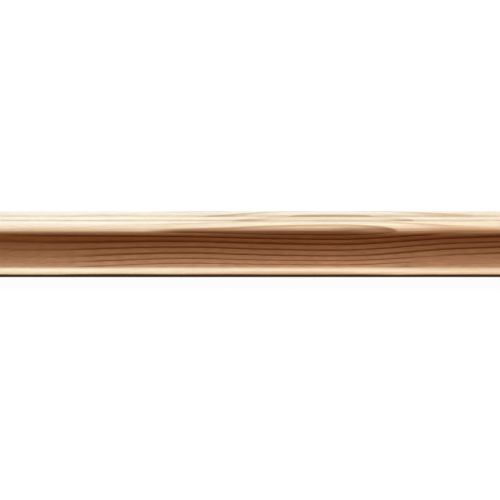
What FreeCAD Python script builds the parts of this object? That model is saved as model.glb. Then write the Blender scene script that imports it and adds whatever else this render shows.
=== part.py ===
"""Dado rail: one length of moulded softwood, lying on its flat back with the moulded face up.

X runs along the length, +Y points to the edge that is uppermost on a wall, and +Z comes out of the face.
The origin is at the middle of the back. All sizes are in millimetres.
"""

import FreeCAD, Part
import math
import os

# The stock that the section is cut from
RAIL_LENGTH = 2400.0
RAIL_WIDTH = 45.0
RAIL_THICKNESS = 20.0

# Two reeds that step down from the nose to the top edge. Each turns past its crest, by an angle, into a
# groove from which a small square riser climbs to what stands behind it
UPPER_REED_RADIUS = 3.0
LOWER_REED_RADIUS = 2.45
REED_PAST_CREST = 15.0
UPPER_RISER = 1.0
LOWER_RISER = 1.0

# The nose, which stands furthest from the wall: a broad round face that leans back by the start angle at
# the lower riser and by the turn angle where it ends, and a tighter round from there into the hollow
NOSE_FACE_RADIUS = 9.3
NOSE_START_ANGLE = 49.0
NOSE_TURN_ANGLE = 3.0
NOSE_EDGE_RADIUS = 2.6

# The long shallow hollow under the nose
HOLLOW_RADIUS = 45.0

# The bead along the bottom edge, a full round on the side of the hollow and a tighter one at the edge,
# and the thickness left in the quirk between bead and hollow
BEAD_RADIUS = 4.5
BEAD_EDGE_RADIUS = 2.3
QUIRK_THICKNESS = 5.8


def point(across, out):
    """A point of the section: millimetres up from the bottom edge, and out from the back."""
    return FreeCAD.Vector(0.0, across - RAIL_WIDTH / 2, out)


def line(start, end):
    return Part.LineSegment(point(*start), point(*end)).toShape()


def arc(start, middle, end):
    return Part.Arc(point(*start), point(*middle), point(*end)).toShape()


def on_circle(centre, radius, degrees):
    """A point on a circle, turned by degrees from straight out of the face towards the top edge."""
    turn = math.radians(degrees)
    return (centre[0] + radius * math.sin(turn), centre[1] + radius * math.cos(turn))


def bearing(centre, target):
    """The angle that on_circle needs to reach a target from a centre."""
    return math.degrees(math.atan2(target[0] - centre[0], target[1] - centre[1]))


def hollow_centre(nose_centre, quirk):
    """The centre of the arc that runs out of the nose with no corner and ends in the quirk."""
    span = math.dist(nose_centre, quirk)
    to_nose = HOLLOW_RADIUS + NOSE_EDGE_RADIUS
    along = (span**2 + HOLLOW_RADIUS**2 - to_nose**2) / (2 * span)
    aside = math.sqrt(HOLLOW_RADIUS**2 - along**2)
    toward = ((nose_centre[0] - quirk[0]) / span, (nose_centre[1] - quirk[1]) / span)
    return (
        quirk[0] + along * toward[0] - aside * toward[1],
        quirk[1] + along * toward[1] + aside * toward[0],
    )


def reed_width(radius):
    """How much of the face one reed takes, from its groove to its outer side."""
    return radius * (1 + math.sin(math.radians(REED_PAST_CREST)))


def nose_centres(groove_across):
    """The centres of the nose's face and of its edge round, which meet with no corner."""
    between = NOSE_FACE_RADIUS - NOSE_EDGE_RADIUS
    face_across = groove_across - NOSE_FACE_RADIUS * math.sin(math.radians(NOSE_START_ANGLE))
    edge_out = RAIL_THICKNESS - NOSE_EDGE_RADIUS
    face_centre = (face_across, edge_out - between * math.cos(math.radians(NOSE_TURN_ANGLE)))
    return face_centre, on_circle(face_centre, between, NOSE_TURN_ANGLE)


def nose_and_hollow():
    """Edges from the lower groove up the riser, over the nose and down the hollow to the quirk."""
    groove_across = RAIL_WIDTH - reed_width(UPPER_REED_RADIUS) - reed_width(LOWER_REED_RADIUS)
    face_centre, edge_centre = nose_centres(groove_across)
    nose_start = on_circle(face_centre, NOSE_FACE_RADIUS, NOSE_START_ANGLE)
    groove = (groove_across, nose_start[1] - LOWER_RISER)
    quirk = (BEAD_RADIUS + BEAD_EDGE_RADIUS, QUIRK_THICKNESS)

    centre = hollow_centre(edge_centre, quirk)
    nose_end_angle = bearing(edge_centre, centre)
    face_middle = on_circle(face_centre, NOSE_FACE_RADIUS, (NOSE_START_ANGLE + NOSE_TURN_ANGLE) / 2)
    face_end = on_circle(face_centre, NOSE_FACE_RADIUS, NOSE_TURN_ANGLE)
    edge_middle = on_circle(edge_centre, NOSE_EDGE_RADIUS, (NOSE_TURN_ANGLE + nose_end_angle) / 2)
    nose_end = on_circle(edge_centre, NOSE_EDGE_RADIUS, nose_end_angle)
    # The hollow's centre stands in front of the face, so its middle is reached backwards from there
    hollow_middle_angle = (nose_end_angle + bearing(quirk, centre)) / 2
    hollow_middle = on_circle(centre, -HOLLOW_RADIUS, hollow_middle_angle)

    edges = [
        line(groove, nose_start),
        arc(nose_start, face_middle, face_end),
        arc(face_end, edge_middle, nose_end),
        arc(nose_end, hollow_middle, quirk),
    ]
    return edges, groove, quirk


def bead(quirk):
    """The two quarter rounds from the quirk over the crest to the bottom edge."""
    centre = (BEAD_EDGE_RADIUS, QUIRK_THICKNESS)
    side_middle = on_circle(centre, BEAD_RADIUS, 45.0)
    crest = on_circle(centre, BEAD_RADIUS, 0.0)
    edge_centre = (crest[0], crest[1] - BEAD_EDGE_RADIUS)
    edge_middle = on_circle(edge_centre, BEAD_EDGE_RADIUS, -45.0)
    bottom = on_circle(edge_centre, BEAD_EDGE_RADIUS, -90.0)
    return [arc(quirk, side_middle, crest), arc(crest, edge_middle, bottom)], bottom


def reed(groove, radius):
    """The arc of one reed from its outer side to its groove, and the point where the side starts."""
    past = math.radians(REED_PAST_CREST)
    centre = (groove[0] + radius * math.sin(past), groove[1] - radius * math.cos(past))
    side = on_circle(centre, radius, 90.0)
    middle = on_circle(centre, radius, (90.0 - REED_PAST_CREST) / 2)
    return arc(side, middle, groove), side


def reeds(lower_groove):
    """Edges from the top edge over both reeds to the lower groove."""
    lower_reed, lower_side = reed(lower_groove, LOWER_REED_RADIUS)
    upper_groove = (lower_side[0], lower_side[1] - UPPER_RISER)
    upper_reed, top = reed(upper_groove, UPPER_REED_RADIUS)
    return [upper_reed, line(upper_groove, lower_side), lower_reed], top


def section():
    """The closed section as a face at the middle of the length."""
    face_edges, lower_groove, quirk = nose_and_hollow()
    reed_edges, top = reeds(lower_groove)
    bead_edges, bottom = bead(quirk)
    back_top = (RAIL_WIDTH, 0.0)
    back_bottom = (0.0, 0.0)
    back_edges = [
        line(bottom, back_bottom),
        line(back_bottom, back_top),
        line(back_top, top),
    ]
    outline = Part.Wire(reed_edges + face_edges + bead_edges + back_edges)
    return Part.Face(outline)


def dado_rail():
    """The section drawn out to both ends of the length."""
    profile = section()
    profile.translate(FreeCAD.Vector(-RAIL_LENGTH / 2, 0.0, 0.0))
    return profile.extrude(FreeCAD.Vector(RAIL_LENGTH, 0.0, 0.0))


os.makedirs("parts", exist_ok=True)
rail = dado_rail()
rail.exportStep("parts/dado_rail.step")

box = rail.BoundBox
print(f"dado_rail: {box.XLength:.1f} x {box.YLength:.1f} x {box.ZLength:.1f} mm")
print(f"section {rail.Volume / RAIL_LENGTH:.1f} mm2, volume {rail.Volume / 1e6:.3f} litres")
print(f"valid {rail.isValid()}, solids {len(rail.Solids)}, faces {len(rail.Faces)}")
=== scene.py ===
# %% [markdown]
# A dado rail is a strip of wood fixed along a wall at about the height of a chair back. This one
# is a single length of pine, planed to a moulded section: two small reeds at the top edge, a broad
# round nose, a long hollow and a bead along the bottom edge. The lesson draws that section with a
# pen of two moves, draws it out to its full length, and then spends most of its effort on the wood.

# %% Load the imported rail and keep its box
import math

import bpy
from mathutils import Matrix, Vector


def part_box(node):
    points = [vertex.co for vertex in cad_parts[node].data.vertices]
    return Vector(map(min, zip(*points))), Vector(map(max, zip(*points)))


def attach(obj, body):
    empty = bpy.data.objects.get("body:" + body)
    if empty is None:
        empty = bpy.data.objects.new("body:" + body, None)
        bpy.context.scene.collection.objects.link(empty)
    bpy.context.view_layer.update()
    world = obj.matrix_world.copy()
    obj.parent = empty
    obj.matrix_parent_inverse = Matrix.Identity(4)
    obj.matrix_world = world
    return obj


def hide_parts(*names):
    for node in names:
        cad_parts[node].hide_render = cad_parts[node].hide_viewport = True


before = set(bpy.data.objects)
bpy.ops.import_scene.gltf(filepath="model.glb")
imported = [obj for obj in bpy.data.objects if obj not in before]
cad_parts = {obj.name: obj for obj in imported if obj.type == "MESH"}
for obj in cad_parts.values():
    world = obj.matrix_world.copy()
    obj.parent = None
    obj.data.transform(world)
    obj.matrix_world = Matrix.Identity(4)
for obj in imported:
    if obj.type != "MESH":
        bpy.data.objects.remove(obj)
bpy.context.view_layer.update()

rail_low, rail_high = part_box("dado_rail")
RAIL_LENGTH = rail_high[0] - rail_low[0]
RAIL_WIDTH = rail_high[1] - rail_low[1]
RAIL_THICKNESS = rail_high[2] - rail_low[2]
MM = 0.001
print(f"rail {RAIL_LENGTH:.3f} x {RAIL_WIDTH:.4f} x {RAIL_THICKNESS:.4f} m, lying on its back")

# %% [markdown]
# The section could be typed in as a list of points, but nobody could then read its sizes. It is
# drawn instead as a joiner would set it out: straight runs and arcs, each with a size of its own.
# A plane primitive is merged to one vertex, which is the pen. Extruding that vertex draws a
# straight line, and spinning it about a centre draws an arc.

# %% A pen that draws lines and arcs in edit mode
ARC_STEP = math.radians(4)
FEWEST_STEPS = 12


def pen_at(name, across, out):
    """Starts a piece whose one vertex stands at the left end of the rail, and stays in edit mode."""
    bpy.ops.object.select_all(action="DESELECT")
    bpy.ops.mesh.primitive_plane_add(size=RAIL_WIDTH)
    piece = bpy.context.object
    piece.name = name
    piece.data.name = name
    bpy.ops.object.mode_set(mode="EDIT")
    bpy.ops.mesh.merge(type="CENTER")
    bpy.ops.transform.translate(value=(rail_low[0], across, out))
    return piece


def draw_line(across, out):
    """Draws a straight run from the pen: so far across the face and so far out of it."""
    bpy.ops.mesh.extrude_vertices_move(TRANSFORM_OT_translate={"value": (0, across, out)})


def draw_arc(centre, turn):
    """Swings the pen about a centre, from the top edge towards the face where turn is positive."""
    bpy.ops.mesh.spin(
        steps=max(FEWEST_STEPS, round(abs(turn) / ARC_STEP)),
        angle=turn,
        center=(rail_low[0], *centre),
        axis=(-1, 0, 0),
    )


# %% [markdown]
# These are the sizes that the moulding knives would be ground to. Each reed turns a little past
# its crest into a groove, and a small square riser climbs from there. The nose has a broad face and
# a tighter round at its edge, and the two share a tangent.

# %% Sizes of the moulding
UPPER_REED_RADIUS = 3.0 * MM
LOWER_REED_RADIUS = 2.45 * MM
REED_PAST_CREST = math.radians(15)
UPPER_RISER = 1.0 * MM
LOWER_RISER = 1.0 * MM
NOSE_FACE_RADIUS = 9.3 * MM
NOSE_START_ANGLE = math.radians(49)
NOSE_TURN_ANGLE = math.radians(3)
NOSE_EDGE_RADIUS = 2.6 * MM
HOLLOW_RADIUS = 45.0 * MM
BEAD_RADIUS = 4.5 * MM
BEAD_EDGE_RADIUS = 2.3 * MM
QUIRK_THICKNESS = 5.8 * MM

# %% Centres of the nose
reed_turn = math.pi / 2 + REED_PAST_CREST
reeds_width = (UPPER_REED_RADIUS + LOWER_REED_RADIUS) * (1 + math.sin(REED_PAST_CREST))
groove_across = rail_high[1] - reeds_width
centres_apart = NOSE_FACE_RADIUS - NOSE_EDGE_RADIUS
nose_face_centre = (
    groove_across - NOSE_FACE_RADIUS * math.sin(NOSE_START_ANGLE),
    RAIL_THICKNESS - NOSE_EDGE_RADIUS - centres_apart * math.cos(NOSE_TURN_ANGLE),
)
nose_edge_centre = (
    nose_face_centre[0] + centres_apart * math.sin(NOSE_TURN_ANGLE),
    RAIL_THICKNESS - NOSE_EDGE_RADIUS,
)
nose_start_out = nose_face_centre[1] + NOSE_FACE_RADIUS * math.cos(NOSE_START_ANGLE)
print(f"nose starts {reeds_width / MM:.2f} mm below the top edge, {nose_start_out / MM:.2f} mm out")

# %% Centres of the reeds and the bead
lower_reed_centre = (
    groove_across + LOWER_REED_RADIUS * math.sin(REED_PAST_CREST),
    nose_start_out - LOWER_RISER - LOWER_REED_RADIUS * math.cos(REED_PAST_CREST),
)
upper_reed_centre = (
    rail_high[1] - UPPER_REED_RADIUS,
    lower_reed_centre[1] - UPPER_RISER - UPPER_REED_RADIUS * math.cos(REED_PAST_CREST),
)
quirk = (rail_low[1] + BEAD_RADIUS + BEAD_EDGE_RADIUS, QUIRK_THICKNESS)
bead_centre = (rail_low[1] + BEAD_EDGE_RADIUS, QUIRK_THICKNESS)
bead_edge_centre = (bead_centre[0], QUIRK_THICKNESS + BEAD_RADIUS - BEAD_EDGE_RADIUS)
print(f"upper reed stands {(upper_reed_centre[1] + UPPER_REED_RADIUS) / MM:.2f} mm out")
print(f"lower reed stands {(lower_reed_centre[1] + LOWER_REED_RADIUS) / MM:.2f} mm out")

# %% [markdown]
# The hollow has no corner where it leaves the nose, so its centre lies on a line through the centre
# of the nose's edge. It ends in the quirk, the sharp corner behind the bead. Two distances from
# known points are enough to find that centre.

# %% Centre of the hollow
def find_hollow_centre():
    """The point one hollow radius from the quirk and both radii from the nose edge's centre."""
    span = math.dist(nose_edge_centre, quirk)
    to_nose = HOLLOW_RADIUS + NOSE_EDGE_RADIUS
    along = (span**2 + HOLLOW_RADIUS**2 - to_nose**2) / (2 * span)
    aside = math.sqrt(HOLLOW_RADIUS**2 - along**2)
    toward = [(edge - start) / span for edge, start in zip(nose_edge_centre, quirk)]
    return (
        quirk[0] + along * toward[0] - aside * toward[1],
        quirk[1] + along * toward[1] + aside * toward[0],
    )


def lean(start, end):
    """The angle from straight out of the face towards the top edge, going from start to end."""
    return math.atan2(end[0] - start[0], end[1] - start[1])


hollow_centre = find_hollow_centre()
nose_end_angle = lean(nose_edge_centre, hollow_centre)
hollow_end_angle = lean(quirk, hollow_centre)
print(f"hollow leans {math.degrees(nose_end_angle):.1f} to {math.degrees(hollow_end_angle):.1f} degrees")

# %% [markdown]
# Now the pen goes once round the section: up the top edge, over the face, down the bottom edge and
# back along the flat back. Filling that outline makes one flat face with many corners, which is all
# that an extrude needs.

# %% Draw the section and close it to one face
MERGE_WITHIN = 0.001 * MM
rail = pen_at("pine_rail", rail_high[1], 0)
draw_line(0, upper_reed_centre[1])
draw_arc(upper_reed_centre, reed_turn)
draw_line(0, UPPER_RISER)
draw_arc(lower_reed_centre, reed_turn)
draw_line(0, LOWER_RISER)
draw_arc(nose_face_centre, NOSE_START_ANGLE - NOSE_TURN_ANGLE)
draw_arc(nose_edge_centre, NOSE_TURN_ANGLE - nose_end_angle)
draw_arc(hollow_centre, nose_end_angle - hollow_end_angle)
draw_arc(bead_centre, math.pi / 2)
draw_arc(bead_edge_centre, math.pi / 2)
draw_line(0, -bead_edge_centre[1])
draw_line(RAIL_WIDTH, 0)
bpy.ops.mesh.select_all(action="SELECT")
bpy.ops.mesh.remove_doubles(threshold=MERGE_WITHIN)
bpy.ops.mesh.edge_face_add()
bpy.ops.object.mode_set(mode="OBJECT")
print(f"section drawn with {len(rail.data.vertices)} points and {len(rail.data.polygons)} face")

# %% [markdown]
# A planed corner is never as sharp as a drawn one: handling and sanding take off a hair. Three
# corners of the section stand out and get that small round with a vertex bevel. The inner corners,
# in the two grooves and the quirk, stay as sharp as the knife leaves them.

# %% Ease the arrises
ARRIS_RADIUS = 0.35 * MM
ARRIS_SEGMENTS = 3
SAME_PLACE = 0.01 * MM
sharp_corners = [
    (rail_high[1], 0),
    (rail_low[1], 0),
    (groove_across, nose_start_out),
]


def is_at(vertex, corner):
    """Whether a vertex of the section stands at a corner."""
    return math.dist(vertex.co[1:], corner) < SAME_PLACE


bpy.ops.object.mode_set(mode="EDIT")
bpy.ops.mesh.select_mode(type="VERT")
bpy.ops.mesh.select_all(action="DESELECT")
bpy.ops.object.mode_set(mode="OBJECT")
for vertex in rail.data.vertices:
    vertex.select = any(is_at(vertex, corner) for corner in sharp_corners)
print(f"easing {sum(vertex.select for vertex in rail.data.vertices)} corners")
bpy.ops.object.mode_set(mode="EDIT")
bpy.ops.mesh.bevel(offset=ARRIS_RADIUS, segments=ARRIS_SEGMENTS, affect="VERTICES")

# %% [markdown]
# The face is now drawn out along the rail. One extrude would do, but it would leave faces two
# metres long and a fraction of a millimetre wide, which other programs draw badly. Short spans
# keep the faces in proportion.

# %% Draw the section out to the full length
SPANS = 24
SMOOTH_BELOW = math.radians(25)
bpy.ops.mesh.select_all(action="SELECT")
for span in range(SPANS):
    bpy.ops.mesh.extrude_region_move(TRANSFORM_OT_translate={"value": (RAIL_LENGTH / SPANS, 0, 0)})
bpy.ops.mesh.select_all(action="SELECT")
bpy.ops.mesh.remove_doubles(threshold=MERGE_WITHIN)
bpy.ops.mesh.normals_make_consistent(inside=False)
bpy.ops.object.mode_set(mode="OBJECT")
bpy.ops.object.shade_smooth_by_angle(angle=SMOOTH_BELOW)
print(f"rail has {len(rail.data.vertices)} vertices and {len(rail.data.polygons)} faces")

# %% [markdown]
# The wood is worked out from how a tree grows, so that every face agrees with every other, also
# where the saw has cut across. It could be painted as lines on the face, but those would not meet
# the rings on the ends. The sums are done by Math and Mix nodes, and small functions add them, so
# that the cells below can be read as sums. A socket knows the tree that it is in, so none of them
# has to be told where its node goes.

# %% Helpers that add a node
MIX_FIRST_COLOUR = 6
MIX_SECOND_COLOUR = 7
MIX_COLOUR_RESULT = 2


def feed(socket, value):
    """Gives a socket its value: another node's output, or a plain number, colour or vector."""
    if isinstance(value, bpy.types.NodeSocket):
        socket.id_data.links.new(value, socket)
    else:
        socket.default_value = value


def node_beside(values, kind):
    """A new node in the tree of the first socket among the values."""
    sockets = [value for value in values if isinstance(value, bpy.types.NodeSocket)]
    return sockets[0].id_data.nodes.new(kind)


def calc(operation, *values):
    """A Math node, with its inputs in order."""
    node = node_beside(values, "ShaderNodeMath")
    node.operation = operation
    for socket, value in zip(node.inputs, values):
        feed(socket, value)
    return node.outputs["Value"]


def mix(kind, factor, first, second):
    """A Mix node for colours."""
    node = node_beside([factor, first, second], "ShaderNodeMix")
    node.data_type = "RGBA"
    node.blend_type = kind
    feed(node.inputs["Factor"], factor)
    feed(node.inputs[MIX_FIRST_COLOUR], first)
    feed(node.inputs[MIX_SECOND_COLOUR], second)
    return node.outputs[MIX_COLOUR_RESULT]


# %% [markdown]
# Nearly everything about the wood happens in some part of the face and not in another. Such a part
# is a mask, from 0 to 1, made of two simple curves: a climb from one place to another, and a hump
# round one place. Where two masks are multiplied, what is left is their overlap.

# %% Helpers for masks
def climb(value, start, end):
    """A smooth step from 0 at start to 1 at end, which falls as the value grows where end is less."""
    node = node_beside([value], "ShaderNodeMapRange")
    node.interpolation_type = "SMOOTHSTEP"
    feed(node.inputs["Value"], value)
    feed(node.inputs["From Min"], start)
    feed(node.inputs["From Max"], end)
    return node.outputs["Result"]


def hump(value, middle, half_width):
    """A bell curve with height 1."""
    away = calc("DIVIDE", calc("SUBTRACT", value, middle), half_width)
    return calc("EXPONENT", calc("MULTIPLY", calc("MULTIPLY", away, away), -1.0))


def overlap(first, *others):
    """1 only where every mask is 1."""
    for other in others:
        first = calc("MULTIPLY", first, other)
    return first


def outside(mask):
    """1 where the mask is 0."""
    return calc("SUBTRACT", 1.0, mask)


def plus(total, amount, *masks):
    """Adds an amount to a total where the masks overlap."""
    return calc("MULTIPLY_ADD", overlap(*masks), amount, total)


# %% [markdown]
# Noise is made of round spots. Where the place is first divided by a length along the rail and a
# shorter one across it, the spots stretch into streaks, which is what tells wood from stone.

# %% Helpers for noise
def streaks(place, along, across, detail=2.0):
    """Noise from 0 to 1 whose spots are so many millimetres along the grain and across it."""
    size = node_beside([place], "ShaderNodeVectorMath")
    size.operation = "DIVIDE"
    feed(size.inputs[0], place)
    feed(size.inputs[1], (along, across, across))
    noise = node_beside([place], "ShaderNodeTexNoise")
    feed(noise.inputs["Vector"], size.outputs["Vector"])
    feed(noise.inputs["Scale"], 1.0)
    feed(noise.inputs["Detail"], detail)
    return noise.outputs["Fac"]


def wave(place, along, across, detail=2.0):
    """The same noise, swinging about zero."""
    return calc("SUBTRACT", streaks(place, along, across, detail), 0.5)


# %% [markdown]
# The figure of the wood is one node group, because the planed faces and the sawn ends both show it.
# It takes a place in the object and gives a colour and two masks. Inside it, places are in
# millimetres: along the rail from its middle, up the face from its bottom edge, and out from its
# back. From here on a pair of numbers for a climb is its start and its end, and a pair for a hump is
# its middle and its half width.

# %% Start the node group and find where a point of the wood lies
figure = bpy.data.node_groups.new("pine_figure", "ShaderNodeTree")
figure.interface.new_socket("Place", in_out="INPUT", socket_type="NodeSocketVector")
figure.interface.new_socket("Colour", in_out="OUTPUT", socket_type="NodeSocketColor")
figure.interface.new_socket("Latewood", in_out="OUTPUT", socket_type="NodeSocketFloat")
figure.interface.new_socket("Fibre", in_out="OUTPUT", socket_type="NodeSocketFloat")
group_in = figure.nodes.new("NodeGroupInput")
group_out = figure.nodes.new("NodeGroupOutput")

in_mm = figure.nodes.new("ShaderNodeVectorMath")
in_mm.operation = "SCALE"
feed(in_mm.inputs[0], group_in.outputs["Place"])
feed(in_mm.inputs["Scale"], 1 / MM)
place = in_mm.outputs["Vector"]
split = figure.nodes.new("ShaderNodeSeparateXYZ")
feed(split.inputs[0], place)
width_in_mm = RAIL_WIDTH / MM
along = split.outputs["X"]
out = split.outputs["Z"]
up_face = calc("ADD", split.outputs["Y"], width_in_mm / 2)
print(f"places on the face run from 0 to {width_in_mm:.1f} mm")

# %% [markdown]
# Rings lie round the pith, the centre of the stem, which is in front of the face on this rail. The
# nose then cuts the rings almost along themselves, which draws a long eye there, and the hollow
# cuts them at a slant, which draws lines.

# %% Distance from the pith
PITH_UP_FACE = 29.4
PITH_OUT = 50.5
aside = calc("SUBTRACT", up_face, PITH_UP_FACE)
depth = calc("SUBTRACT", PITH_OUT, out)
squares = calc("ADD", calc("MULTIPLY", aside, aside), calc("MULTIPLY", depth, depth))
grown = calc("SQRT", squares)
print(f"pith is {PITH_OUT - RAIL_THICKNESS / MM:.1f} mm in front of the nose")

# %% [markdown]
# A stem is never a true cylinder. It bends and swells, and the lines on the face bend with it. The
# next cells add that bending, in millimetres, to the distance from the pith. One long swell opens
# the eye, and three small ones shape its crest and its two tips.

# %% The eye
EYE_SWELL = 9.04
EYE_ALONG = (63.5, 209.0)
EYE_UP = (-7.65, 16.0)
LEFT_TIP = 0.75
LEFT_TIP_ALONG = (-60.0, 45.0)
LEFT_TIP_UP = (32.0, 2.6)
CREST = 0.2
CREST_ALONG = (70.0, 90.0)
CREST_UP = (35.5, 1.8)
RIGHT_TIP = 0.16
RIGHT_TIP_ALONG = (102.0, 14.0)
RIGHT_TIP_UP = (31.4, 1.8)
grown = plus(grown, -EYE_SWELL, hump(along, *EYE_ALONG), climb(up_face, *EYE_UP))
grown = plus(grown, -LEFT_TIP, hump(along, *LEFT_TIP_ALONG), hump(up_face, *LEFT_TIP_UP))
grown = plus(grown, -CREST, hump(along, *CREST_ALONG), hump(up_face, *CREST_UP))
grown = plus(grown, RIGHT_TIP, hump(along, *RIGHT_TIP_ALONG), hump(up_face, *RIGHT_TIP_UP))
print(f"stem swells by {EYE_SWELL} mm, {EYE_ALONG[0]} mm to the right of the middle")

# %% [markdown]
# At the left the lower lines spread apart, and at the right the grain runs out towards the nose,
# with a lift just under it and a lobe on it. The first two are climbs, because they go on past the
# edges of the photo.

# %% The lines on either side of the eye
SPREAD = 6.56
SPREAD_ALONG = (-21.0, -166.0)
SPREAD_UP = (43.1, 12.85)
RUN_OUT = 2.86
RUN_OUT_ALONG = (60.7, 142.0)
RUN_OUT_UP = (46.0, 34.0)
LIFT = 1.3
LIFT_ALONG = (170.0, 45.0)
LIFT_UP = (29.8, 1.2)
LOBE = 0.5
LOBE_ALONG = (155.0, 38.0)
LOBE_UP = (34.8, 2.2)
grown = plus(grown, -SPREAD, climb(along, *SPREAD_ALONG), climb(up_face, *SPREAD_UP))
grown = plus(grown, RUN_OUT, climb(along, *RUN_OUT_ALONG), climb(up_face, *RUN_OUT_UP))
grown = plus(grown, LIFT, hump(along, *LIFT_ALONG), hump(up_face, *LIFT_UP))
grown = plus(grown, -LOBE, hump(along, *LOBE_ALONG), hump(up_face, *LOBE_UP))
print(f"lines spread by {SPREAD} mm at the left and run out by {RUN_OUT} mm at the right")

# %% [markdown]
# Far from the part that the photo shows, a slow noise bends the rings, so that no stretch of the
# rail repeats another. A fine wave runs through all of it.

# %% Slow and fine waves
FAR_OUT = (180.0, 420.0)
FAR_DRIFT = 14.0
FAR_SPOTS = (320.0, 60.0)
FINE_DRIFT = 0.35
FINE_SPOTS = (45.0, 7.0)
far = climb(calc("ABSOLUTE", along), *FAR_OUT)
grown = plus(grown, FAR_DRIFT, far, wave(place, *FAR_SPOTS))
grown = plus(grown, FINE_DRIFT, wave(place, *FINE_SPOTS))
print(f"slow noise starts {FAR_OUT[0]:.0f} mm from the middle of the rail")

# %% [markdown]
# The two reeds show only the tips of their rings, short dark marks beside the grooves. A small
# drift of their own brings those marks to their places. It dies out towards the ends of the rail,
# where the saw cut would show it as a step.

# %% The drift on the reeds, and the number of the ring
RING_WIDTH = 3.2
FIRST_RING = 8.31
REEDS_UP = (38.0, 38.3)
REEDS_LEFT = 2.0
REEDS_LEFT_ALONG = (40.0, -20.0)
REEDS_RIGHT = 1.3
REEDS_RIGHT_ALONG = (71.0, 121.0)
UPPER_REED = 1.6
UPPER_REED_UP = (40.9, 41.2)
reed_drift = plus(0.0, REEDS_LEFT, climb(along, *REEDS_LEFT_ALONG))
reed_drift = plus(reed_drift, REEDS_RIGHT, climb(along, *REEDS_RIGHT_ALONG))
reed_drift = plus(reed_drift, -UPPER_REED, climb(up_face, *UPPER_REED_UP))
grown = plus(grown, reed_drift, climb(up_face, *REEDS_UP), outside(far))
rings = calc("SUBTRACT", calc("DIVIDE", grown, RING_WIDTH), FIRST_RING)
print(f"rings are {RING_WIDTH} mm apart")

# %% [markdown]
# Within one year the tree first grows pale, soft earlywood and then a little dense, dark latewood,
# and stops at once for the winter. The mask therefore climbs slowly and drops sharply. No two
# summers are alike, so each ring gets its own start of the latewood from its number. Inside the eye
# is the heart, whose latewood starts later.

# %% Latewood and heart
FIRST_SUMMER = 306.0
EARLIEST_ONSET = 0.2
ONSET_SPREAD = 0.5
LATER_IN_HEART = 0.3
DENSEST = 0.9
WINTER = (1.0, 0.96)
HEART_RINGS = (-0.96, -1.04)
HEART_ALONG = (-75.0, -40.0)
ring_number = calc("FLOOR", rings)
year = calc("SUBTRACT", rings, ring_number)
summer = figure.nodes.new("ShaderNodeTexWhiteNoise")
summer.noise_dimensions = "1D"
feed(summer.inputs["W"], calc("ADD", ring_number, FIRST_SUMMER))
heart = overlap(climb(rings, *HEART_RINGS), climb(along, *HEART_ALONG))
onset = plus(EARLIEST_ONSET, ONSET_SPREAD, summer.outputs["Value"])
onset = plus(onset, LATER_IN_HEART, heart)
latewood = overlap(climb(year, onset, DENSEST), climb(year, *WINTER))
print(f"latewood starts {EARLIEST_ONSET} to {EARLIEST_ONSET + ONSET_SPREAD} of the way through a ring")

# %% [markdown]
# Between the rings run the fibres, which show as fine streaks: some as long as a finger, some a
# third of that, a short grain among them, and now and then a dark fleck of resin. Streaks of noise
# give all of these, and each pair is the length and the width of their spots.

# %% Fibres
FIBRE_DETAIL = 3.0
LONG_FIBRES = (90.0, 1.6)
SHORT_FIBRES = (30.0, 0.5)
LONG_SHARE = 0.6
GRAIN_SPOTS = (7.0, 0.65)
FLECK_SPOTS = (9.0, 0.3)
FLECK_ONSET = (0.66, 0.74)
fibre = plus(0.0, 1 - LONG_SHARE, streaks(place, *SHORT_FIBRES, FIBRE_DETAIL))
fibre = plus(fibre, LONG_SHARE, streaks(place, *LONG_FIBRES, FIBRE_DETAIL))
grain = wave(place, *GRAIN_SPOTS, FIBRE_DETAIL)
fleck = climb(streaks(place, *FLECK_SPOTS), *FLECK_ONSET)
print(f"rings and fibres take {len(figure.nodes)} nodes")

# %% [markdown]
# The colour changes across the face much more than the light alone gives, and much of the change is
# painted shade and light over the warm tone of the wood. The brown of the hollow, deepest just under
# the nose where the nose's shade lies and clearing towards the bead, is painted shade, and so are the
# rusty tones where the nose and the bead turn away from the light and the tan in the quirk. The edges
# are pale sapwood, whitest at the top edge, a painted highlight where the light falls full. A list
# holds those tones in order from the bottom edge to the top edge, each with its place up the face.

# %% Tones across the face
BEAD_LOW = (0.98, 0.70, 0.47, 1)
BEAD = (0.99, 0.86, 0.67, 1)
BEAD_SIDE = (0.94, 0.79, 0.59, 1)
TAN = (0.62, 0.46, 0.30, 1)
SANDY = (0.73, 0.37, 0.195, 1)
BROWN = (0.68, 0.275, 0.11, 1)
DEEP_BROWN = (0.69, 0.205, 0.055, 1)
AMBER = (1.0, 0.46, 0.21, 1)
RUST = (0.70, 0.35, 0.18, 1)
HONEY = (0.92, 0.64, 0.41, 1)
CREAM = (0.97, 0.79, 0.57, 1)
PALE = (0.98, 0.90, 0.745, 1)
WHITISH = (0.94, 0.90, 0.81, 1)
WHITE_EDGE = (0.99, 0.97, 0.92, 1)
# Tan to honey are partly painted shade, and whitish and the white edge partly painted light.
stops = [
    (2.4, BEAD_LOW),
    (3.8, BEAD),
    (5.35, BEAD_SIDE),
    (6.6, TAN),
    (9.5, SANDY),
    (20.0, BROWN),
    (28.2, DEEP_BROWN),
    (29.6, AMBER),
    (30.5, RUST),
    (31.1, RUST),
    (31.5, HONEY),
    (32.7, HONEY),
    (33.7, CREAM),
    (36.5, PALE),
    (42.6, PALE),
    (43.8, WHITISH),
    (44.6, WHITE_EDGE),
]
print(f"{len(stops)} tones from the bottom edge to the top edge")

# %% [markdown]
# A Color Ramp node blends those tones. On the nose at the right they stand a little higher up the
# face, so the place is shifted there before the ramp reads it.

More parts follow.
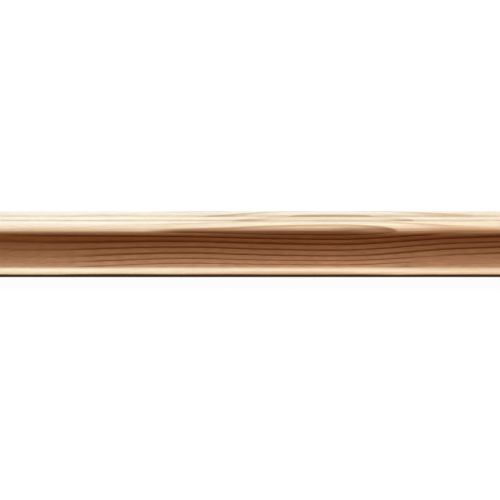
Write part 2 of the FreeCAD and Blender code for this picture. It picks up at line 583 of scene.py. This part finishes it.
# %% Put the tones on a ramp
NOSE_LIFT = 0.8
NOSE_LIFT_ALONG = (95.0, 140.0)
NOSE_LIFT_UP = (30.2, 31.2)
tones = figure.nodes.new("ShaderNodeValToRGB")
ramp = tones.color_ramp
while len(ramp.elements) < len(stops):
    ramp.elements.new(1.0)
for element, (millimetres, tone) in zip(ramp.elements, stops):
    element.position = millimetres / width_in_mm
    element.color = tone
tone_place = plus(up_face, -NOSE_LIFT, climb(along, *NOSE_LIFT_ALONG), climb(up_face, *NOSE_LIFT_UP))
feed(tones.inputs["Fac"], calc("DIVIDE", tone_place, width_in_mm))
print(f"tones on the nose stand {NOSE_LIFT} mm higher at the right")

# %% [markdown]
# Along the rail the tones change less. The pale parts turn a little warmer from left to right, and
# the shoulder where the nose turns down is a shade darker from the eye onwards. Each change is a
# tint that is multiplied into the colour through its mask.

# %% Warmth and shoulder
WARMER = (1.0, 0.95, 0.89, 1)
WARMER_ALONG = (-110.0, 40.0)
BROWN_FROM_BEAD = (6.3, 7.3)
BROWN_TO_NOSE = (30.6, 28.6)
SHOULDER = (0.80, 0.77, 0.77, 1)
SHOULDER_ALONG = (-75.0, -30.0)
SHOULDER_TOP = (33.9, 32.8)
SHOULDER_FOOT = (30.5, 31.2)
brown_zone = overlap(climb(up_face, *BROWN_FROM_BEAD), climb(up_face, *BROWN_TO_NOSE))
warmth = overlap(outside(brown_zone), climb(along, *WARMER_ALONG))
colour = mix("MULTIPLY", warmth, tones.outputs["Color"], WARMER)
shoulder = overlap(climb(up_face, *SHOULDER_TOP), climb(up_face, *SHOULDER_FOOT))
shoulder = overlap(shoulder, climb(along, *SHOULDER_ALONG), outside(far))
colour = mix("MULTIPLY", shoulder, colour, SHOULDER)
print(f"brown reaches from {BROWN_FROM_BEAD[1]} to {BROWN_TO_NOSE[1]} mm up the face")

# %% [markdown]
# The inside of the eye is heartwood. It is pink on the nose, and brown below it where the nose turns
# into the hollow, a painted shade over the heart's own tone. It is darker again towards its right tip.

# %% Heartwood, with painted shade below the nose's turn
HEART_PINK = (0.86, 0.78, 0.75, 1)
HEART_IN_SHADE = (0.54, 0.41, 0.32, 1)
HEART_SHADE_UP = (32.6, 31.4)
HEART_SHADE_ALONG = (95.0, 65.0)
LESS_IN_HOLLOW = 0.3
HOLLOW_START = (30.8, 30.0)
RIGHT_HEART = (0.80, 0.72, 0.68, 1)
RIGHT_HEART_ALONG = (50.0, 70.0)
RIGHT_HEART_TOP = (35.0, 33.6)
RIGHT_HEART_FOOT = (31.2, 32.0)
# The brown heart below the nose's turn is painted shade.
heart_shade = overlap(climb(up_face, *HEART_SHADE_UP), climb(along, *HEART_SHADE_ALONG))
heart_shade = overlap(heart_shade, plus(1.0, -LESS_IN_HOLLOW, climb(up_face, *HOLLOW_START)))
heart_tint_and_shade = mix("MIX", heart_shade, HEART_PINK, HEART_IN_SHADE)
colour = mix("MULTIPLY", heart, colour, heart_tint_and_shade)
right_heart = overlap(climb(along, *RIGHT_HEART_ALONG), climb(up_face, *RIGHT_HEART_TOP))
right_heart = overlap(right_heart, climb(up_face, *RIGHT_HEART_FOOT), heart)
colour = mix("MULTIPLY", right_heart, colour, RIGHT_HEART)
print(f"heartwood turns brown below {HEART_SHADE_UP[0]} mm up the face")

# %% [markdown]
# Latewood darkens whatever it crosses: hardly at all in the sapwood, more beside and inside the
# eye, and most of all in the brown of the hollow.

# %% Tints of the latewood
LATE_IN_PALE = (0.95, 0.92, 0.88, 1)
LATE_BY_EYE = (0.74, 0.63, 0.53, 1)
LATE_IN_HEART = (0.77, 0.69, 0.60, 1)
LATE_IN_SANDY = (0.50, 0.37, 0.27, 1)
LATE_IN_BROWN = (0.42, 0.23, 0.07, 1)
BY_EYE_FROM = (-75.0, -35.0)
BY_EYE_TO = (175.0, 105.0)
SANDY_TO_BROWN = (9.0, 21.0)
near_eye = overlap(climb(along, *BY_EYE_FROM), climb(along, *BY_EYE_TO))
late_pale = mix("MIX", near_eye, LATE_IN_PALE, LATE_BY_EYE)
late_pale = mix("MIX", heart, late_pale, LATE_IN_HEART)
late_brown = mix("MIX", climb(up_face, *SANDY_TO_BROWN), LATE_IN_SANDY, LATE_IN_BROWN)
late_tint = mix("MIX", brown_zone, late_pale, late_brown)
print(f"latewood keeps {LATE_IN_PALE[0]:.0%} of the red in sapwood, {LATE_IN_BROWN[0]:.0%} in the brown")

# %% [markdown]
# In some places the lines are faint: low in the hollow at both sides, at the left end of what the
# photo shows, on the side of the lower reed and the start of the nose, and on the bead. The values
# below say which share of them is lost there.

# %% Where the lines fade
LOW_RIGHT_LOSS = 0.7
LOW_RIGHT_ALONG = (90.0, 130.0)
LOW_RIGHT_UP = (17.0, 13.0)
LOW_LEFT_LOSS = 0.45
LOW_LEFT_ALONG = (-100.0, -125.0)
LOW_LEFT_UP = (22.0, 15.0)
LEFT_LOSS = 0.5
LEFT_ALONG = (-175.0, 50.0)
REED_SIDE_LOSS = 0.7
REED_SIDE_UP = (40.3, 0.7)
NOSE_START_LOSS = 0.5
NOSE_START_UP = (37.2, 0.6)
BEAD_LOSS = 0.6
BEAD_UP = (6.6, 5.6)
fading = plus(0.0, LOW_RIGHT_LOSS, climb(along, *LOW_RIGHT_ALONG), climb(up_face, *LOW_RIGHT_UP))
fading = plus(fading, LOW_LEFT_LOSS, climb(along, *LOW_LEFT_ALONG), climb(up_face, *LOW_LEFT_UP))
fading = overlap(fading, outside(far))
fading = plus(fading, LEFT_LOSS, hump(along, *LEFT_ALONG))
fading = plus(fading, REED_SIDE_LOSS, hump(up_face, *REED_SIDE_UP))
fading = plus(fading, NOSE_START_LOSS, hump(up_face, *NOSE_START_UP))
fading = plus(fading, BEAD_LOSS, climb(up_face, *BEAD_UP))
shown = overlap(latewood, outside(calc("MINIMUM", fading, 1.0)))
colour = mix("MULTIPLY", shown, colour, late_tint)
print(f"lines lose {LOW_LEFT_LOSS:.0%} low at the left and {LOW_RIGHT_LOSS:.0%} low at the right")

# %% [markdown]
# The bead is pale all along, with a pink blush low on it in the middle and another, higher, at the
# right. Each is one soft mask, a hump one way times a climb the other way.

# %% Two soft blushes on the bead
BLUSH = (0.85, 0.79, 0.73, 1)
LOW_BLUSH_ALONG = (36.0, 38.0)
LOW_BLUSH_UP = (5.0, 3.2)
RIGHT_BLUSH_ALONG = (95.0, 150.0)
RIGHT_BLUSH_UP = (5.6, 1.5)
low_blush = overlap(hump(along, *LOW_BLUSH_ALONG), climb(up_face, *LOW_BLUSH_UP))
right_blush = overlap(climb(along, *RIGHT_BLUSH_ALONG), hump(up_face, *RIGHT_BLUSH_UP))
colour = mix("MULTIPLY", calc("MAXIMUM", low_blush, right_blush), colour, BLUSH)
print(f"blushes {LOW_BLUSH_ALONG[0]:.0f} mm along, and from {RIGHT_BLUSH_ALONG[0]:.0f} mm on")

# %% [markdown]
# Last come two marks of painted shade. The two grooves beside the reeds are greyed a little, painted
# shade in the creases. A dark rim runs along the foot of the bead, not quite straight, painted shade
# where the bead turns down away from the light, and it fades on the way down the bottom edge.

# %% Painted shade in the grooves and along the foot of the bead
GROOVE_SHADE = (0.83, 0.83, 0.83, 1)
UPPER_GROOVE_UP = (41.6, 0.7)
LOWER_GROOVE_UP = (38.5, 0.55)
LOWER_GROOVE_SHADE = 0.9
RIM_SHADE = (0.15, 0.055, 0.013, 1)
RIM_UP = (2.4, 1.75)
RIM_WANDER = 1.2
RIM_SPOTS = (70.0, 30.0)
BOTTOM_EDGE = (0.95, 0.54, 0.28, 1)
RIM_FADES_OUT = (9.9, 7.6)
# Painted shade greys the two grooves.
groove_shade = plus(hump(up_face, *UPPER_GROOVE_UP), LOWER_GROOVE_SHADE, hump(up_face, *LOWER_GROOVE_UP))
colour = mix("MULTIPLY", groove_shade, colour, GROOVE_SHADE)
# The dark rim is painted shade where the bead turns down from the light, fading into the bottom edge's
# tone.
rim_place = plus(up_face, RIM_WANDER, wave(place, *RIM_SPOTS))
rim_shade_tone = mix("MIX", climb(out, *RIM_FADES_OUT), RIM_SHADE, BOTTOM_EDGE)
colour = mix("MIX", climb(rim_place, *RIM_UP), colour, rim_shade_tone)
print(f"rim starts about {RIM_UP[0]} mm up the face")

# %% [markdown]
# The top edge and the back are planed plainly, with no sapwood tones across them, and show the
# middle tone of the wood.

# %% The top edge and the back
TOP_EDGE = (0.93, 0.72, 0.49, 1)
TOP_EDGE_UP = (43.5, 44.6)
TOP_EDGE_OUT = (10.6, 9.6)
BACK = (0.80, 0.58, 0.37, 1)
BACK_OUT = (1.2, 0.1)
top_edge = overlap(climb(up_face, *TOP_EDGE_UP), climb(out, *TOP_EDGE_OUT))
colour = mix("MIX", top_edge, colour, TOP_EDGE)
colour = mix("MIX", climb(out, *BACK_OUT), colour, BACK)
print(f"top edge is plain below {TOP_EDGE_OUT[1]} mm out, the back below {BACK_OUT[1]} mm")

# %% [markdown]
# The fibres go over everything. They lighten and darken the finished colour by a share, the short
# grain does so most in the brown, and the flecks take the latewood's brown.

# %% Fibres over the colour, and the outputs of the group
FIBRE_LOW = 0.7
FIBRE_RANGE = 0.6
GRAIN_IN_PALE = 0.25
MORE_GRAIN_IN_BROWN = 0.6
FLECK_DEPTH = 0.2
shade = plus(FIBRE_LOW, FIBRE_RANGE, fibre)
shade = plus(shade, plus(GRAIN_IN_PALE, MORE_GRAIN_IN_BROWN, brown_zone), grain)
colour = mix("MULTIPLY", 1.0, colour, shade)
colour = mix("MULTIPLY", calc("MULTIPLY", fleck, FLECK_DEPTH), colour, LATE_IN_BROWN)
feed(group_out.inputs["Colour"], colour)
feed(group_out.inputs["Latewood"], latewood)
feed(group_out.inputs["Fibre"], fibre)
print(f"the whole figure takes {len(figure.nodes)} nodes")

# %% [markdown]
# The planed faces and the sawn ends are one and the same wood, so both materials hold the figure,
# each in its own way. The relief of both is far too fine to model, so a Bump node stands in for it.
# Bare pine hardly shines, so the shader's specular level is low.

# %% Start a material of the wood
WOOD_SPECULAR = 0.05


def start_material(name, relief, strength):
    """A material with the figure at its object place, and a bump so deep and so strong."""
    material = bpy.data.materials.new(name)
    material.use_nodes = True
    nodes = material.node_tree.nodes
    shader = nodes["Principled BSDF"]
    shader.inputs["Specular IOR Level"].default_value = WOOD_SPECULAR
    wood = nodes.new("ShaderNodeGroup")
    wood.node_tree = figure
    feed(wood.inputs["Place"], nodes.new("ShaderNodeTexCoord").outputs["Object"])
    bump = nodes.new("ShaderNodeBump")
    bump.inputs["Distance"].default_value = relief
    bump.inputs["Strength"].default_value = strength
    feed(shader.inputs["Normal"], bump.outputs["Normal"])
    return material, shader, wood, bump


# %% [markdown]
# A planed face shows the figure as it is, and is a little smoother where the latewood is dense.
# Fibres and latewood both stand up a hair from the earlywood.

# %% The planed faces
PLANED_ROUGHNESS = 0.62
LATEWOOD_POLISH = 0.1
PLANED_RELIEF = 0.04 * MM
PLANED_BUMP = 0.5
planed, shader, wood, bump = start_material("planed_pine", PLANED_RELIEF, PLANED_BUMP)
feed(shader.inputs["Base Color"], wood.outputs["Colour"])
feed(shader.inputs["Roughness"], plus(PLANED_ROUGHNESS, -LATEWOOD_POLISH, wood.outputs["Latewood"]))
feed(bump.inputs["Height"], calc("ADD", wood.outputs["Fibre"], wood.outputs["Latewood"]))
print(f"{planed.name}: roughness {PLANED_ROUGHNESS - LATEWOOD_POLISH:.2f} to {PLANED_ROUGHNESS}")

# %% [markdown]
# A sawn end drinks up the light: it is darker and rough, the tones of the face hardly show on it,
# and its rings stand out.

# %% The sawn ends
END_GRAIN = (0.84, 0.52, 0.28, 1)
END_LATE = (0.58, 0.42, 0.28, 1)
FACE_TONE_SHARE = 0.25
SAWN_ROUGHNESS = 0.8
SAWN_RELIEF = 0.08 * MM
SAWN_BUMP = 0.6
sawn, shader, wood, bump = start_material("sawn_pine", SAWN_RELIEF, SAWN_BUMP)
end_tone = mix("MIX", FACE_TONE_SHARE, END_GRAIN, wood.outputs["Colour"])
feed(shader.inputs["Base Color"], mix("MULTIPLY", wood.outputs["Latewood"], end_tone, END_LATE))
shader.inputs["Roughness"].default_value = SAWN_ROUGHNESS
feed(bump.inputs["Height"], wood.outputs["Latewood"])
print(f"{sawn.name}: roughness {SAWN_ROUGHNESS}")

# %% [markdown]
# The ends are the faces that look along the rail, and they get the sawn material. The finished
# piece then takes the place of the plain rail: it rides on the root body, and the plain rail is
# hidden.

# %% Give each face its material, and put the rail in its place
FACES_END = 0.9
rail.data.materials.append(planed)
rail.data.materials.append(sawn)
for polygon in rail.data.polygons:
    polygon.material_index = 1 if abs(polygon.normal.x) > FACES_END else 0
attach(rail, "root")
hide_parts("dado_rail")
print(f"{sum(polygon.material_index for polygon in rail.data.polygons)} faces are sawn, the rest planed")

# %% [markdown]
# The rail lies on white paper. Paper lit to a full white would need so much light that the pale
# wood burned out. So the paper glows by itself, but only for rays that carry a picture: those from
# the camera and those that gloss or glass send on. For the lamps it is a dull sheet that keeps the
# rail's shadow.

# %% Helpers for paper and room
def empty_tree(owner):
    """Switches a material or a world to nodes, and clears those that it starts with."""
    owner.use_nodes = True
    owner.node_tree.nodes.clear()
    return owner.node_tree


def carries_picture(tree):
    """1 for rays from the camera, or on from gloss or glass, and 0 for rays that gather light."""
    rays = tree.nodes.new("ShaderNodeLightPath").outputs
    sent_on = calc("MAXIMUM", rays["Is Glossy Ray"], rays["Is Transmission Ray"])
    return calc("MAXIMUM", rays["Is Camera Ray"], sent_on)


# %% Floor
FLOOR_SIZE = 24.0
FLOOR_GLOW = 0.96
FLOOR_TONE = (0.10, 0.10, 0.10, 1)
bpy.ops.object.select_all(action="DESELECT")
bpy.ops.mesh.primitive_plane_add(size=FLOOR_SIZE)
floor = bpy.context.object
floor.name = "floor"
paper = bpy.data.materials.new("white_paper")
tree = empty_tree(paper)
output = tree.nodes.new("ShaderNodeOutputMaterial")
both = tree.nodes.new("ShaderNodeAddShader")
glow = tree.nodes.new("ShaderNodeEmission")
matt = tree.nodes.new("ShaderNodeBsdfDiffuse")
matt.inputs["Color"].default_value = FLOOR_TONE
feed(glow.inputs["Strength"], calc("MULTIPLY", carries_picture(tree), FLOOR_GLOW))
feed(both.inputs[0], glow.outputs[0])
feed(both.inputs[1], matt.outputs[0])
feed(output.inputs["Surface"], both.outputs[0])
floor.data.materials.append(paper)
print(f"paper {FLOOR_SIZE:.0f} m square")

# %% [markdown]
# The shade in the hollow and on the foot of the bead tells where the light stands: beyond the top
# edge, a little to the left and not very high. A sun lamp is used, because its rays are parallel
# and light the whole length alike, and a wide angle makes it soft. A sun of strength pi would light
# a white face that looks straight at it to full white, and this one stays a little below that. A
# white room around it fills the shade a little.

# %% Key light
SUN_FOR_WHITE = math.pi
KEY_STRENGTH = 0.89 * SUN_FOR_WHITE
KEY_ELEVATION = math.radians(38)
KEY_TURN = math.radians(25)
KEY_SOFTNESS = math.radians(25)
bpy.ops.object.light_add(type="SUN", rotation=(KEY_ELEVATION - math.pi / 2, 0, -KEY_TURN))
key = bpy.context.object
key.name = "key_light"
key.data.energy = KEY_STRENGTH
key.data.angle = KEY_SOFTNESS
print(f"key light {math.degrees(KEY_ELEVATION):.0f} degrees above the floor, strength {KEY_STRENGTH:.2f}")

# %% White room
FILL_STRENGTH = 0.18
WHITE = (1, 1, 1, 1)
world = bpy.data.worlds.new("studio")
bpy.context.scene.world = world
tree = empty_tree(world)
output = tree.nodes.new("ShaderNodeOutputWorld")
sky = tree.nodes.new("ShaderNodeBackground")
sky.inputs["Color"].default_value = WHITE
feed(sky.inputs["Strength"], calc("MAXIMUM", carries_picture(tree), FILL_STRENGTH))
feed(output.inputs["Surface"], sky.outputs[0])
print(f"room fills the shade with strength {FILL_STRENGTH}")

# %% [markdown]
# The photo looks straight at the face, so the camera looks straight down at the rail as it lies.
# Both edges of the rail stay parallel right across the photo, which an orthographic camera gives.
# Its scale comes from the one size that the photo shows whole: the width, and the pixels it takes.

# %% Camera
PHOTO_PIXELS = 500
RAIL_PIXELS = 66
RAIL_MIDDLE_PIXEL = 244.2
CAMERA_HEIGHT = 1.0
pixel = RAIL_WIDTH / RAIL_PIXELS
camera_across = (RAIL_MIDDLE_PIXEL - PHOTO_PIXELS / 2) * pixel
bpy.ops.object.camera_add(location=(0, camera_across, CAMERA_HEIGHT), rotation=(0, 0, 0))
camera = bpy.context.object
camera.data.type = "ORTHO"
camera.data.ortho_scale = PHOTO_PIXELS * pixel
bpy.context.scene.camera = camera
bpy.context.scene.view_settings.view_transform = "Standard"
print(f"camera shows {camera.data.ortho_scale:.3f} m, {pixel / MM:.4f} mm to a pixel")
